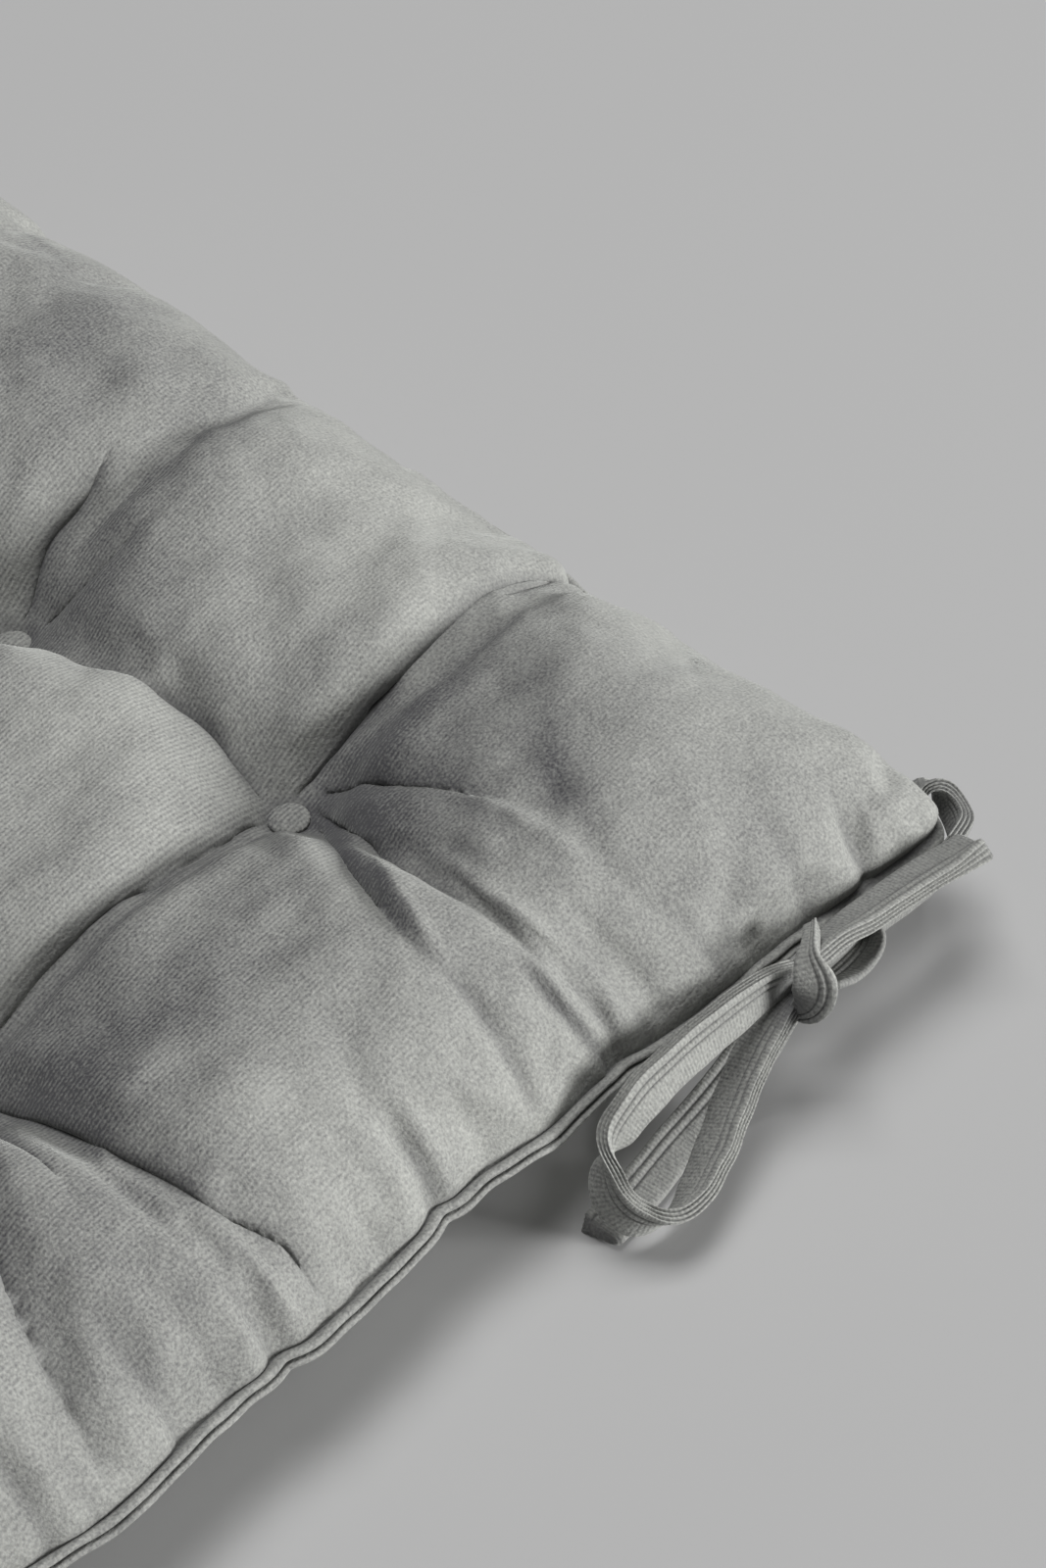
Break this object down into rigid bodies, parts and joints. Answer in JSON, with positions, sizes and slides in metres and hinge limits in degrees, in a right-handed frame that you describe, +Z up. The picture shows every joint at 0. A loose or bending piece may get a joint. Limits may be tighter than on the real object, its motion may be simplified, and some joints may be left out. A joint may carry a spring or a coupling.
{
  "type": "tufted chair pad with ties",
  "caption": "Square tufted velvet seat pad with covered buttons, a sewn lip round the edge and a tie knotted in a bow at each back corner.",
  "frame": {"origin": "middle of the whole part's box, on the surface that the pad lies on", "axes": "+Z up out of the tufted face, +Y towards the back edge with the ties, +X to the right seen from the front"},
  "size_m": [0.4712, 0.4854, 0.0749],
  "materials": {
    "cushion_velvet": "short-pile velvet, light grey",
    "button_velvet": "the same velvet over the buttons",
    "tie_velvet": "the same velvet, folded and stitched into straps"
  },
  "bodies": {
    "root": {"cushion": "cushion_velvet", "button_1_3": "button_velvet", "button_2_3": "button_velvet", "button_3_3": "button_velvet", "button_1_2": "button_velvet", "button_2_2": "button_velvet", "button_3_2": "button_velvet", "button_1_1": "button_velvet", "button_2_1": "button_velvet", "button_3_1": "button_velvet", "tie_left": "tie_velvet", "tie_right": "tie_velvet"}
  },
  "joints": []
}
